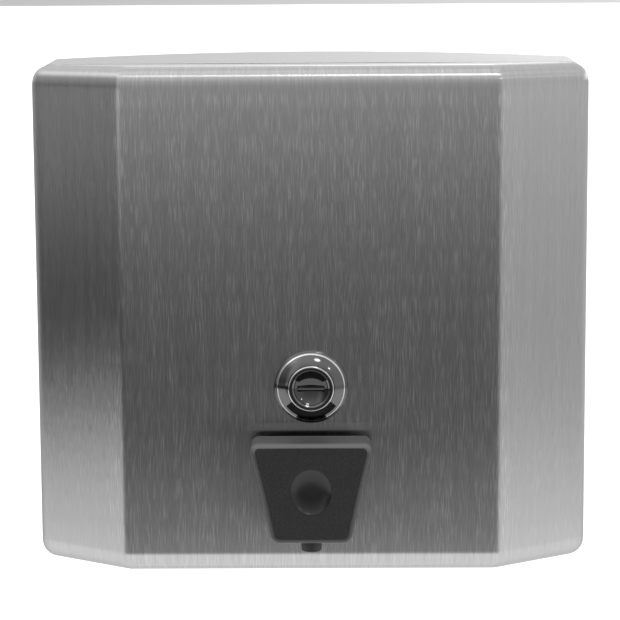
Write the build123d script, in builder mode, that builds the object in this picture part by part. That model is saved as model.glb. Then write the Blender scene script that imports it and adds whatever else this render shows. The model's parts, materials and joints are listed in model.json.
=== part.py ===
# Wall mounted soap dispenser: a steel back housing, a tilting faceted front cover that carries the
# soap tank and push valve, and a keyed cam lock. Millimetres.
# Frame: origin in the wall plane at the centre of the wall screws, +Z up, +Y into the wall, the
# front faces -Y. A "depth" is a distance out from the wall, so a depth of 80 lies at y = -80.
import os
from math import atan2, tan

from build123d import *

os.makedirs("parts", exist_ok=True)

# ---- Driving dimensions ----
overall_width = 178.0
overall_height = 161.0
overall_depth = 80.0
panel_width = 119.0
facet_setback = 19.8
housing_depth = 54.0
seam_gap = 0.4
crown_rise = 2.2
sheet = 1.0
edge_radius = 6.0
fold_radius = 1.5
bend_radius = 6.5

screw_spacing_x = 120.0
screw_spacing_z = 110.0
screw_hole_radius = 2.6

hinge_z = -76.0
knuckle_radius = 2.5
pin_radius = 1.25
running_gap = 0.05
hinge_length = 130.0
hinge_knuckles = 7

lock_z = -20.0
lock_barrel_radius = 9.4
plug_radius = 5.25
cam_reach = 15.5

valve_z = -51.0
button_front = 97.6
button_rear = 84.2

tank_wall = 2.2
tank_rear = 8.0
tank_front = 74.0
tank_half_width = 80.0
tank_bottom = -66.0
tank_top = 64.0

# ---- Values worked out from them ----
half_width = overall_width / 2
half_height = overall_height / 2
half_panel = panel_width / 2
side_depth = overall_depth - facet_setback
facet_slope = facet_setback / (half_width - half_panel)
facet_angle = atan2(facet_setback, half_width - half_panel)
housing_front = housing_depth - seam_gap / 2
cover_rear = housing_depth + seam_gap / 2
cover_inside = overall_depth - sheet
lay_gap = 0.02
floor_z = -half_height + sheet + lay_gap
leaf_top = floor_z + sheet
lock_axis = Axis((0, 0, lock_z), (0, 1, 0))


# ---- Back housing: an open tray of folded sheet with a slightly crowned top ----
def housing_outline(inset, crown):
    """Closed outline of the housing, drawn in by inset, its top edge an arc that rises by crown."""
    side = half_width - inset
    top = half_height - inset
    Polyline((-side, top), (-side, -top), (side, -top), (side, top))
    ThreePointArc((side, top), (0, top + crown), (-side, top))


# The corners are folded tight at the wall and open out to the cover's rounded ones at the front.
front_crown = 0.1
floor_step = 1.2
rivet_radius = 1.6
arm_rivet_z = (-26.0, -16.0)
with BuildPart() as rear_housing:
    for inset, rear_depth, rear_corner, mode in (
        (0, 0, fold_radius, Mode.ADD),
        (sheet, sheet, fold_radius - sheet / 2, Mode.SUBTRACT),
    ):
        with BuildSketch(Plane.XZ.offset(rear_depth)):
            with BuildLine():
                housing_outline(inset, crown_rise)
            make_face()
            fillet(vertices(), rear_corner)
        with BuildSketch(Plane.XZ.offset(housing_front)):
            with BuildLine():
                housing_outline(inset, front_crown)
            make_face()
            fillet(vertices(), edge_radius - inset)
        loft(ruled=True, mode=mode)
    # The floor stops short of the cover's lower edge, which swings through here as the cover tilts.
    with Locations((0, -housing_front, -half_height)):
        Box(overall_width, 2 * floor_step, 2 * edge_radius, mode=Mode.SUBTRACT)
    with Locations(Plane.XZ):
        with GridLocations(screw_spacing_x, screw_spacing_z, 2, 2):
            Hole(screw_hole_radius)
        with Locations(*[(0, z) for z in arm_rivet_z]):
            Hole(rivet_radius)
rear_housing.part.label = "rear_housing"
export_step(rear_housing.part, "parts/rear_housing.step")

# ---- Front cover: faceted door with rounded rims, open at the back ----
lock_hole_radius = lock_barrel_radius + 0.2
spigot_radius = 9.5
valve_hole_radius = spigot_radius + 0.3
notch_front = 57.6
notch_top = hinge_z + 0.6
front_zone = (-overall_depth - edge_radius, -cover_rear - running_gap)
with BuildPart() as front_cover:
    with BuildSketch(Plane.XY.offset(-half_height)):
        with BuildLine():
            Polyline(
                (-half_width, -cover_rear),
                (-half_width, -side_depth),
                (-half_panel, -overall_depth),
                (half_panel, -overall_depth),
                (half_width, -side_depth),
                (half_width, -cover_rear),
                close=True,
            )
        make_face()
    extrude(amount=overall_height)
    fillet(edges().filter_by(Axis.Z).filter_by_position(Axis.Y, *front_zone), bend_radius)
    rims = edges().group_by(Axis.Z)[-1] + edges().group_by(Axis.Z)[0]
    fillet(rims.filter_by_position(Axis.Y, *front_zone), edge_radius)
    offset(amount=-sheet, openings=faces().sort_by(Axis.Y)[-1])
    # The lower rear edge is cut back, so that it clears the housing's floor as the cover tilts.
    with Locations((0, -cover_rear, notch_top - edge_radius)):
        Box(overall_width, 2 * (notch_front - cover_rear), 2 * edge_radius, mode=Mode.SUBTRACT)
    with BuildSketch(Plane.XZ.offset(cover_inside)):
        with Locations((0, lock_z)):
            Circle(lock_hole_radius)
        with Locations((0, valve_z)):
            Circle(valve_hole_radius)
    extrude(amount=sheet, mode=Mode.SUBTRACT)
front_cover.part.label = "front_cover"
export_step(front_cover.part, "parts/front_cover.step")

# ---- Hinge: two leaves with alternating knuckles on one long pin ----
knuckle_pitch = hinge_length / hinge_knuckles
knuckle_gap = 0.3
leaf_depth_rear = 15.0
leaf_depth_cover = 12.0
leaf_clearance = 4.0
hinge_rivet_x = (-50.0, 0.0, 50.0)
hinge_pin_head = 2.0
pin_head_length = 1.0
rivet_head_height = 0.9
rivet_head_ratio = 1.8
head_taper = 20


def knuckle_places(first):
    """Middles, along X, of every other knuckle, starting with the given one."""
    return [-hinge_length / 2 + knuckle_pitch * (i + 0.5) for i in range(first, hinge_knuckles, 2)]


for name, side, first, leaf_depth in (
    ("hinge_leaf_rear", 1, 0, leaf_depth_rear),
    ("hinge_leaf_cover", -1, 1, leaf_depth_cover),
):
    with BuildPart() as leaf:
        # The flat of the leaf lies on the sheet floor, clear of the other leaf's knuckles.
        with Locations(
            (0, -housing_depth + side * (leaf_clearance + leaf_depth / 2), leaf_top - sheet / 2)
        ):
            Box(hinge_length, leaf_depth, sheet)
        rivet_y = -housing_depth + side * (leaf_clearance + leaf_depth / 2)
        for x in knuckle_places(first):
            with Locations((x, -housing_depth + side * leaf_clearance / 2, leaf_top - sheet / 2)):
                Box(knuckle_pitch - knuckle_gap, leaf_clearance + sheet, sheet)
            with BuildSketch(Plane.YZ.offset(x - (knuckle_pitch - knuckle_gap) / 2)):
                with Locations((-housing_depth, hinge_z)):
                    Circle(knuckle_radius)
                with Locations((-housing_depth + side * knuckle_radius / 2, (hinge_z + leaf_top) / 2)):
                    Rectangle(knuckle_radius, hinge_z - leaf_top)
            extrude(amount=knuckle_pitch - knuckle_gap)
        with BuildSketch(Plane.YZ.offset(-hinge_length / 2)):
            with Locations((-housing_depth, hinge_z)):
                Circle(pin_radius + running_gap)
        extrude(amount=hinge_length, mode=Mode.SUBTRACT)
        with Locations(*[(x, rivet_y, leaf_top) for x in hinge_rivet_x]):
            Hole(rivet_radius)
    leaf.part.label = name
    export_step(leaf.part, f"parts/{name}.step")

    # Each rivet's flat foot is flush with the sheet floor and its low head sits on the leaf.
    with BuildPart() as rivets:
        with BuildSketch(Plane.XY.offset(floor_z)):
            with Locations(*[(x, rivet_y) for x in hinge_rivet_x]):
                Circle(rivet_radius)
        extrude(amount=sheet)
        with BuildSketch(Plane.XY.offset(leaf_top)):
            with Locations(*[(x, rivet_y) for x in hinge_rivet_x]):
                Circle(rivet_head_ratio * rivet_radius)
        extrude(amount=rivet_head_height, taper=head_taper)
    rivet_name = name.replace("leaf", "rivets")
    rivets.part.label = rivet_name
    export_step(rivets.part, f"parts/{rivet_name}.step")

with BuildPart() as hinge_pin:
    with BuildSketch(Plane.YZ.offset(-hinge_length / 2)):
        with Locations((-housing_depth, hinge_z)):
            Circle(pin_radius)
    extrude(amount=hinge_length)
    for x in (-hinge_length / 2 - pin_head_length, hinge_length / 2):
        with BuildSketch(Plane.YZ.offset(x)):
            with Locations((-housing_depth, hinge_z)):
                Circle(hinge_pin_head)
        extrude(amount=pin_head_length)
hinge_pin.part.label = "hinge_pin"
export_step(hinge_pin.part, "parts/hinge_pin.step")

# ---- Latch arm: a bent strip, riveted to the back wall, whose hook meets the lock's cam ----
arm_top = lock_z + 19.0
arm_thickness = 2.0
arm_width = 13.0
hook_front = 68.2
hook_drop = 8.3
arm_foot_bottom = arm_rivet_z[0] - 6.0
arm_bend_radius = 1.8
bead_width = 3.0
bead_height = 1.4
bead_end_gap = 7.0
arm_rivet_head_ratio = 2.0
arm_rivet_head_height = 1.2
with BuildPart() as latch_arm:
    with BuildSketch(Plane.YZ.offset(-arm_width / 2)):
        with BuildLine():
            Polyline(
                (-sheet, arm_foot_bottom),
                (-sheet, arm_top),
                (-hook_front, arm_top),
                (-hook_front, arm_top - hook_drop),
                (-hook_front + arm_thickness, arm_top - hook_drop),
                (-hook_front + arm_thickness, arm_top - arm_thickness),
                (-sheet - arm_thickness, arm_top - arm_thickness),
                (-sheet - arm_thickness, arm_foot_bottom),
                close=True,
            )
        make_face()
    extrude(amount=arm_width)
    bends = edges().filter_by(Axis.X).group_by(Axis.Z)[-1]
    fillet(bends, arm_bend_radius)
    # A bead stiffens the arm along its underside.
    with Locations((0, -(sheet + hook_front) / 2, arm_top - arm_thickness - bead_height / 2 + 0.1)):
        Box(bead_width, hook_front - 2 * bead_end_gap, bead_height)
    with Locations(Plane.XZ):
        with Locations(*[(0, z) for z in arm_rivet_z]):
            Hole(rivet_radius)
latch_arm.part.label = "latch_arm"
export_step(latch_arm.part, "parts/latch_arm.step")

with BuildPart() as latch_arm_rivets:
    with BuildSketch(Plane.XZ):
        with Locations(*[(0, z) for z in arm_rivet_z]):
            Circle(rivet_radius)
    extrude(amount=sheet + arm_thickness)
    with BuildSketch(Plane.XZ.offset(sheet + arm_thickness)):
        with Locations(*[(0, z) for z in arm_rivet_z]):
            Circle(arm_rivet_head_ratio * rivet_radius)
    extrude(amount=arm_rivet_head_height, taper=head_taper)
latch_arm_rivets.part.label = "latch_arm_rivets"
export_step(latch_arm_rivets.part, "parts/latch_arm_rivets.step")

# ---- Rubber buffers that the back of the tank closes against ----
buffer_x = 62.0
buffer_z = 44.0
buffer_radius = 6.0
buffer_rounding = 1.5
buffer_gap = 0.3
with BuildPart() as tank_buffers:
    with BuildSketch(Plane.XZ.offset(sheet)):
        with Locations((-buffer_x, buffer_z), (buffer_x, buffer_z)):
            Circle(buffer_radius)
    extrude(amount=tank_rear - sheet - buffer_gap)
    fillet(edges().group_by(Axis.Y)[0], buffer_rounding)
tank_buffers.part.label = "tank_buffers"
export_step(tank_buffers.part, "parts/tank_buffers.step")

# ---- Soap tank: a blown bottle with a through window for the lock and latch arm ----
tank_gap = cover_inside - tank_front
tank_corner_x = half_panel - tan(facet_angle / 2) * (overall_depth - tank_front)
tank_side_depth = tank_front - facet_slope * (tank_half_width - tank_corner_x)
window_half_width = 18.0
window_bottom = -33.0
window_top = 2.0
window_corner = 5.0
tank_side_rounding = 8.0
tank_end_rounding = 5.0
spigot_front = 81.7
spigot_bore = 7.6
neck_x = -45.0
neck_y = -41.0
neck_radius = 15.0
neck_bore = 12.5
neck_top = 71.5
stud_x = 50.0
stud_z = 70.0
stud_radius = 2.0
lug_thickness = 3.0
lug_width = 16.0
lug_top = 75.0
lug_front = tank_front - 5.0
lug_corner = 3.0
stud_places = [(-stud_x, stud_z), (stud_x, stud_z)]
with BuildPart() as soap_tank:
    with BuildSketch(Plane.XY.offset(tank_bottom)):
        with BuildLine():
            Polyline(
                (-tank_half_width, -tank_rear),
                (-tank_half_width, -tank_side_depth),
                (-tank_corner_x, -tank_front),
                (tank_corner_x, -tank_front),
                (tank_half_width, -tank_side_depth),
                (tank_half_width, -tank_rear),
                close=True,
            )
        make_face()
    extrude(amount=tank_top - tank_bottom)
    fillet(edges().filter_by(Axis.Z), tank_side_rounding)
    fillet(edges().group_by(Axis.Z)[-1] + edges().group_by(Axis.Z)[0], tank_end_rounding)
    with BuildSketch(Plane.XZ):
        with Locations((0, (window_bottom + window_top) / 2)):
            RectangleRounded(2 * window_half_width, window_top - window_bottom, window_corner)
    extrude(amount=overall_depth, mode=Mode.SUBTRACT)
    offset(amount=-tank_wall, mode=Mode.SUBTRACT)
    with BuildSketch(Plane.XZ.offset(tank_front - tank_wall / 2)):
        with Locations((0, valve_z)):
            Circle(spigot_radius)
    extrude(amount=spigot_front - tank_front + tank_wall / 2)
    with BuildSketch(Plane.XZ.offset(tank_front - tank_end_rounding)):
        with Locations((0, valve_z)):
            Circle(spigot_bore)
    extrude(amount=spigot_front - tank_front + tank_end_rounding, mode=Mode.SUBTRACT)
    with BuildSketch(Plane.XY.offset(tank_top - tank_end_rounding)):
        with Locations((neck_x, neck_y)):
            Circle(neck_bore)
    extrude(amount=tank_end_rounding, mode=Mode.SUBTRACT)
soap_tank.part.label = "soap_tank"
export_step(soap_tank.part, "parts/soap_tank.step")

with BuildPart() as filler_neck:
    with BuildSketch(Plane.XY.offset(tank_top + lay_gap)):
        with Locations((neck_x, neck_y)):
            Circle(neck_radius)
            Circle(neck_bore, mode=Mode.SUBTRACT)
    extrude(amount=neck_top - tank_top - lay_gap)
filler_neck.part.label = "filler_neck"
export_step(filler_neck.part, "parts/filler_neck.step")

with BuildPart() as tank_lugs:
    # Two lugs, welded on the tank's shoulder, hang on the studs behind the cover's face.
    with BuildSketch(Plane.XZ.offset(lug_front - lug_thickness)):
        with Locations(*[(x, (lug_top + tank_top + lay_gap) / 2) for x, z in stud_places]):
            Rectangle(lug_width, lug_top - tank_top - lay_gap)
        fillet(vertices().group_by(Axis.Y)[-1], lug_corner)
        with Locations(*stud_places):
            Circle(stud_radius + running_gap, mode=Mode.SUBTRACT)
    extrude(amount=lug_thickness)
tank_lugs.part.label = "tank_lugs"
export_step(tank_lugs.part, "parts/tank_lugs.step")

# ---- Studs and nuts that hold the top of the tank ----
stud_length = 8.0
nut_thickness = 3.2
nut_across_flats = 7.0
with BuildPart() as tank_studs:
    # Each stud is welded behind the cover's face, and its shoulder holds the lug off the sheet.
    with BuildSketch(Plane.XZ.offset(lug_front)):
        with Locations(*stud_places):
            Circle(2 * stud_radius)
    extrude(amount=cover_inside - lug_front - lay_gap)
    with BuildSketch(Plane.XZ.offset(lug_front - stud_length)):
        with Locations(*stud_places):
            Circle(stud_radius)
    extrude(amount=stud_length)
tank_studs.part.label = "tank_studs"
export_step(tank_studs.part, "parts/tank_studs.step")

with BuildPart() as tank_nuts:
    with BuildSketch(Plane.XZ.offset(lug_front - lug_thickness - nut_thickness)):
        with Locations(*stud_places):
            RegularPolygon(nut_across_flats / 2, 6, major_radius=False)
            Circle(stud_radius + running_gap, mode=Mode.SUBTRACT)
    extrude(amount=nut_thickness - lay_gap)
tank_nuts.part.label = "tank_nuts"
export_step(tank_nuts.part, "parts/tank_nuts.step")

# ---- Filler cap: a quarter-turn cap with a grip rim, and its sealing ring ----
cap_gap = 0.3
cap_wall = 2.0
cap_radius = neck_radius + cap_gap + cap_wall
cap_top = 74.2
cap_skirt_gap = 0.6
cap_ribs = 24
cap_rib_radius = 0.6
dish_depth = 0.8
dish_border = 3.0
grip_width = 4.0
seal_thickness = 1.2
seal_overlap = 0.5
with BuildPart() as filler_cap:
    with BuildSketch(Plane.XY.offset(tank_top + cap_skirt_gap)):
        with Locations((neck_x, neck_y)):
            Circle(cap_radius)
            with PolarLocations(cap_radius, cap_ribs):
                Circle(cap_rib_radius)
    extrude(amount=cap_top - tank_top - cap_skirt_gap)
    with BuildSketch(Plane.XY.offset(tank_top)):
        with Locations((neck_x, neck_y)):
            Circle(neck_radius + cap_gap)
    extrude(amount=neck_top + seal_thickness - tank_top + lay_gap, mode=Mode.SUBTRACT)
    # A bar across a shallow dish in the top is the finger grip.
    with BuildSketch(Plane.XY.offset(cap_top - dish_depth)):
        with Locations((neck_x, neck_y)):
            Circle(cap_radius - dish_border)
            Rectangle(2 * cap_radius, grip_width, mode=Mode.SUBTRACT)
    extrude(amount=dish_depth, mode=Mode.SUBTRACT)
filler_cap.part.label = "filler_cap"
export_step(filler_cap.part, "parts/filler_cap.step")

with BuildPart() as filler_cap_seal:
    with BuildSketch(Plane.XY.offset(neck_top + lay_gap)):
        with Locations((neck_x, neck_y)):
            Circle(neck_radius)
            Circle(neck_bore - seal_overlap, mode=Mode.SUBTRACT)
    extrude(amount=seal_thickness - lay_gap)
filler_cap_seal.part.label = "filler_cap_seal"
export_step(filler_cap_seal.part, "parts/filler_cap_seal.step")

# ---- Push valve: fixed pieces, listed from the door outwards and then inwards ----
bore_radius = 5.5
barrel_radius = 7.5
stem_radius = 3.2
flange_radius = 9.3
flange_front = 83.5
barrel_rear = 44.0
union_front = 86.2
union_radius = 12.5
union_lip = 1.3
union_lip_radius = 6.5
union_rounding = 0.6
union_grooves = 12
union_groove_radius = 1.1
spacer_radius = 13.0
flange_thickness = 1.0
cage_front = 54.0
seat_front = 47.0
seat_hole_radius = 1.8
ball_radius = 2.5
ball_lift = 1.5


def ring(plane, outer, inner, length, height):
    """A plain ring on an XZ plane, its middle at x = 0 and the given height, grown by length."""
    with BuildSketch(plane) as section:
        with Locations((0, height)):
            Circle(outer)
            Circle(inner, mode=Mode.SUBTRACT)
    extrude(section.sketch, amount=length)


with BuildPart() as spigot_spacer:
    ring(
        Plane.XZ.offset(tank_front + lay_gap),
        spacer_radius,
        spigot_radius + running_gap,
        tank_gap - 2 * lay_gap,
        valve_z,
    )
spigot_spacer.part.label = "spigot_spacer"
export_step(spigot_spacer.part, "parts/spigot_spacer.step")

with BuildPart() as union_nut:
    ring(
        Plane.XZ.offset(overall_depth + lay_gap),
        union_radius,
        spigot_radius + running_gap,
        union_front - overall_depth - lay_gap,
        valve_z,
    )
    ring(Plane.XZ.offset(union_front - union_lip), union_radius, union_lip_radius, union_lip, valve_z)
    fillet(edges().group_by(Axis.Y)[0].sort_by(SortBy.LENGTH)[-1], union_rounding)
    with BuildSketch(Plane.XZ.offset(overall_depth)):
        with Locations((0, valve_z)):
            with PolarLocations(union_radius, union_grooves):
                Circle(union_groove_radius)
    extrude(amount=union_front - overall_depth, mode=Mode.SUBTRACT)
union_nut.part.label = "union_nut"
export_step(union_nut.part, "parts/union_nut.step")

with BuildPart() as valve_cylinder:
    ring(Plane.XZ.offset(barrel_rear), barrel_radius, bore_radius, flange_front - barrel_rear, valve_z)
    flange_rear = flange_front - flange_thickness
    ring(Plane.XZ.offset(flange_rear), flange_radius, bore_radius, flange_thickness, valve_z)
valve_cylinder.part.label = "valve_cylinder"
export_step(valve_cylinder.part, "parts/valve_cylinder.step")

with BuildPart() as valve_gasket:
    ring(
        Plane.XZ.offset(spigot_front + lay_gap),
        flange_radius,
        spigot_bore,
        flange_rear - spigot_front - 2 * lay_gap,
        valve_z,
    )
valve_gasket.part.label = "valve_gasket"
export_step(valve_gasket.part, "parts/valve_gasket.step")

gland_rear = 79.5
gland_front = 84.7
o_ring_radius = 4.8
o_ring_rear = 81.0
o_ring_front = 82.6
o_ring_rounding = 0.45
with BuildPart() as gland_cap:
    ring(
        Plane.XZ.offset(gland_rear),
        bore_radius - running_gap,
        stem_radius + running_gap,
        gland_front - gland_rear,
        valve_z,
    )
    ring(
        Plane.XZ.offset(flange_front + lay_gap),
        flange_radius,
        stem_radius + running_gap,
        gland_front - flange_front - lay_gap,
        valve_z,
    )
    with BuildSketch(Plane.XZ.offset(o_ring_rear)):
        with Locations((0, valve_z)):
            Circle(o_ring_radius)
    extrude(amount=o_ring_front - o_ring_rear, mode=Mode.SUBTRACT)
gland_cap.part.label = "gland_cap"
export_step(gland_cap.part, "parts/gland_cap.step")

with BuildPart() as stem_o_ring:
    ring(
        Plane.XZ.offset(o_ring_rear + lay_gap),
        o_ring_radius - lay_gap,
        stem_radius + running_gap,
        o_ring_front - o_ring_rear - 2 * lay_gap,
        valve_z,
    )
    fillet(edges(), o_ring_rounding)
stem_o_ring.part.label = "stem_o_ring"
export_step(stem_o_ring.part, "parts/stem_o_ring.step")

barb_radius = 3.0
barb_length = 6.0
seat_radius = bore_radius - running_gap
with BuildPart() as inlet_seat:
    ring(Plane.XZ.offset(barrel_rear), seat_radius, seat_hole_radius, seat_front - barrel_rear, valve_z)
    ring(Plane.XZ.offset(barrel_rear - barb_length), barb_radius, seat_hole_radius, barb_length, valve_z)
inlet_seat.part.label = "inlet_seat"
export_step(inlet_seat.part, "parts/inlet_seat.step")

cage_wall = 1.0
cage_hole_radius = 0.9
cage_hole_ring = 2.9
with BuildPart() as ball_cage:
    ring(
        Plane.XZ.offset(seat_front + lay_gap),
        seat_radius,
        bore_radius - cage_wall,
        cage_front - seat_front - lay_gap,
        valve_z,
    )
    ring(Plane.XZ.offset(cage_front - cage_wall), seat_radius, cage_hole_radius, cage_wall, valve_z)
    with BuildSketch(Plane.XZ.offset(cage_front - cage_wall)):
        with Locations((0, valve_z)):
            with PolarLocations(cage_hole_ring, 4):
                Circle(cage_hole_radius)
    extrude(amount=cage_wall, mode=Mode.SUBTRACT)
ball_cage.part.label = "ball_cage"
export_step(ball_cage.part, "parts/ball_cage.step")

ball_seat_depth = seat_front + (ball_radius**2 - seat_hole_radius**2) ** 0.5 + running_gap
with BuildPart() as inlet_ball:
    with Locations((0, -ball_seat_depth, valve_z)):
        Sphere(ball_radius)
inlet_ball.part.label = "inlet_ball"
export_step(inlet_ball.part, "parts/inlet_ball.step")

# The suction tube slides over the seat's barb and turns down to the floor of the tank.
tube_radius = 4.2
tube_bore = 3.05
tube_bend = 6.0
tube_foot = tank_bottom + tank_wall + 1.5
tube_rear = 31.0
tube_start = barrel_rear - 1.0
with BuildPart() as suction_tube:
    with BuildLine():
        FilletPolyline(
            (0, -tube_start, valve_z),
            (0, -tube_rear, valve_z),
            (0, -tube_rear, tube_foot),
            radius=tube_bend,
        )
    with BuildSketch(Plane.XZ.offset(tube_start)):
        with Locations((0, valve_z)):
            Circle(tube_radius)
            Circle(tube_bore, mode=Mode.SUBTRACT)
    sweep()
suction_tube.part.label = "suction_tube"
export_step(suction_tube.part, "parts/suction_tube.step")

# ---- Push valve: moving pieces ----
head_rear = 75.2
head_front = 79.2
head_radius = 5.2
groove_radius = 4.0
groove_rear = 76.4
groove_front = 78.4
stem_bore = 1.5
stem_front = 94.9
outlet_depth = 93.0
nozzle_radius = 2.3
nozzle_bore = 1.3
tip_radius = 3.2
tip_top = -65.8
tip_bottom = -69.7
tip_wall = 0.8
tip_chamfer = 0.5
cup_seat = 3.0
hub_radius = 4.8
hub_rear = 90.4
hub_front = 95.3
stem_cap = 1.0
cross_hole_radius = 1.0
cross_hole_depth = outlet_depth - 0.8

with BuildPart() as piston_stem:
    ring(Plane.XZ.offset(head_front), stem_radius, stem_bore, stem_front - head_front, valve_z)
    ring(Plane.XZ.offset(head_rear), head_radius, stem_bore, groove_rear - head_rear, valve_z)
    ring(Plane.XZ.offset(groove_rear), groove_radius, stem_bore, groove_front - groove_rear, valve_z)
    ring(Plane.XZ.offset(groove_front), head_radius, stem_bore, head_front - groove_front, valve_z)
    # The front end is closed, and a cross hole lets the soap down into the nozzle.
    with BuildSketch(Plane.XZ.offset(stem_front - stem_cap)):
        with Locations((0, valve_z)):
            Circle(stem_radius)
    extrude(amount=stem_cap)
    with BuildSketch(Plane.XY.offset(valve_z - stem_radius)):
        with Locations((0, -cross_hole_depth)):
            Circle(cross_hole_radius)
    extrude(amount=stem_radius, mode=Mode.SUBTRACT)
piston_stem.part.label = "piston_stem"
export_step(piston_stem.part, "parts/piston_stem.step")

seal_lip = 0.4
with BuildPart() as piston_seal:
    ring(
        Plane.XZ.offset(groove_rear + lay_gap),
        seat_radius,
        groove_radius + lay_gap,
        groove_front - groove_rear - 2 * lay_gap,
        valve_z,
    )
    chamfer(edges().group_by(Axis.Y)[-1].sort_by(SortBy.LENGTH)[-1], seal_lip)
piston_seal.part.label = "piston_seal"
export_step(piston_seal.part, "parts/piston_seal.step")

spring_radius = 3.9
spring_wire = 0.45
spring_turns = 7
with BuildPart() as return_spring:
    spring_rear = cage_front + spring_wire + lay_gap
    spring_front = head_rear - spring_wire - lay_gap
    with BuildLine():
        coil = Helix(
            pitch=(spring_front - spring_rear) / spring_turns,
            height=spring_front - spring_rear,
            radius=spring_radius,
            center=(0, -spring_rear, valve_z),
            direction=(0, -1, 0),
        )
    with BuildSketch(Plane(coil @ 0, z_dir=coil % 0)):
        Circle(spring_wire)
    sweep(is_frenet=True)
return_spring.part.label = "return_spring"
export_step(return_spring.part, "parts/return_spring.step")

with BuildPart() as spout_nozzle:
    with BuildSketch(Plane.XZ.offset(hub_rear)):
        with Locations((0, valve_z)):
            Circle(hub_radius)
    extrude(amount=hub_front - hub_rear)
    with BuildSketch(Plane.XY.offset(tip_bottom)):
        with Locations((0, -outlet_depth)):
            Circle(nozzle_radius)
    extrude(amount=valve_z - tip_bottom)
    with BuildSketch(Plane.XY.offset(tip_bottom)):
        with Locations((0, -outlet_depth)):
            Circle(tip_radius)
    extrude(amount=tip_top - tip_bottom)
    chamfer(edges().group_by(Axis.Z)[0], tip_chamfer)
    with BuildSketch(Plane.XZ.offset(hub_rear)):
        with Locations((0, valve_z)):
            Circle(stem_radius + running_gap)
    extrude(amount=stem_front - hub_rear + lay_gap, mode=Mode.SUBTRACT)
    with BuildSketch(Plane.XY.offset(tip_bottom)):
        with Locations((0, -outlet_depth)):
            Circle(nozzle_bore)
    extrude(amount=valve_z - tip_bottom, mode=Mode.SUBTRACT)
    with BuildSketch(Plane.XY.offset(tip_bottom)):
        with Locations((0, -outlet_depth)):
            Circle(tip_radius - tip_wall)
    extrude(amount=cup_seat, mode=Mode.SUBTRACT)
spout_nozzle.part.label = "spout_nozzle"
export_step(spout_nozzle.part, "parts/spout_nozzle.step")

cup_bottom = tip_bottom + 0.6
cup_floor = 0.6
cup_height = cup_seat - 0.7
slit_length = 1.8
slit_width = 0.12
with BuildPart() as drip_valve:
    # A small rubber cup with a slit floor, seated up inside the nozzle's tip.
    with BuildSketch(Plane.XY.offset(cup_bottom)):
        with Locations((0, -outlet_depth)):
            Circle(tip_radius - tip_wall - lay_gap)
    extrude(amount=cup_height)
    with BuildSketch(Plane.XY.offset(cup_bottom + cup_floor)):
        with Locations((0, -outlet_depth)):
            Circle(nozzle_bore)
    extrude(amount=cup_height - cup_floor, mode=Mode.SUBTRACT)
    with Locations((0, -outlet_depth, cup_bottom + cup_floor / 2)):
        Box(slit_length, slit_width, cup_floor, mode=Mode.SUBTRACT)
drip_valve.part.label = "drip_valve"
export_step(drip_valve.part, "parts/drip_valve.step")

# ---- Push button: a tapered hollow shell with a thumb dimple ----
button_top = -35.0
button_bottom = -66.6
button_top_half = 19.6
button_bottom_half = 12.1
button_top_corner = 2.6
button_bottom_corner = 3.0
button_front_rounding = 1.8
button_wall = 1.9
dimple_depth = 1.3
dimple_half_width = 6.6
dimple_half_height = 7.3
dimple_z = -50.6
socket_wall = 1.5
socket_rear = 92.6
slot_gap = 0.1
with BuildPart() as push_button:
    with BuildSketch(Plane.XZ.offset(button_rear)):
        with BuildLine():
            Polyline(
                (-button_top_half, button_top),
                (-button_bottom_half, button_bottom),
                (button_bottom_half, button_bottom),
                (button_top_half, button_top),
                close=True,
            )
        make_face()
        fillet(vertices().group_by(Axis.Y)[-1], button_top_corner)
        fillet(vertices().group_by(Axis.Y)[0], button_bottom_corner)
    extrude(amount=button_front - button_rear)
    fillet(edges().group_by(Axis.Y)[0], button_front_rounding)
    offset(amount=-button_wall, openings=faces().sort_by(Axis.Y)[-1])
    # A round socket behind the face grips the nozzle's hub, with a slot below for the nozzle.
    ring(
        Plane.XZ.offset(socket_rear),
        hub_radius + running_gap + socket_wall,
        hub_radius + running_gap,
        button_front - button_wall - socket_rear,
        valve_z,
    )
    with BuildSketch(Plane.XY.offset(tip_bottom)):
        with Locations((0, -outlet_depth)):
            Circle(nozzle_radius + slot_gap)
    extrude(amount=valve_z - tip_bottom, mode=Mode.SUBTRACT)
    with BuildSketch(Plane.XY.offset(tip_bottom)):
        with Locations((0, -outlet_depth)):
            Circle(tip_radius + slot_gap)
    extrude(amount=tip_top + slot_gap - tip_bottom, mode=Mode.SUBTRACT)
    # The dimple is the cap of an ellipsoid, taller than it is wide.
    dimple_radius = (dimple_half_width**2 + dimple_depth**2) / (2 * dimple_depth)
    dimple_height = dimple_half_height * dimple_radius / dimple_half_width
    with BuildSketch(Plane.YZ) as dimple_section:
        with Locations((-button_front + dimple_depth - dimple_radius, dimple_z)):
            Ellipse(dimple_radius, dimple_height)
        with Locations((-button_front + dimple_depth - 2 * dimple_radius, dimple_z)):
            Rectangle(2 * dimple_radius, 3 * dimple_radius, mode=Mode.SUBTRACT)
    dimple_axis = Axis((0, -button_front + dimple_depth - dimple_radius, dimple_z), (0, 0, 1))
    revolve(axis=dimple_axis, mode=Mode.SUBTRACT)
push_button.part.label = "push_button"
export_step(push_button.part, "parts/push_button.step")

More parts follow.
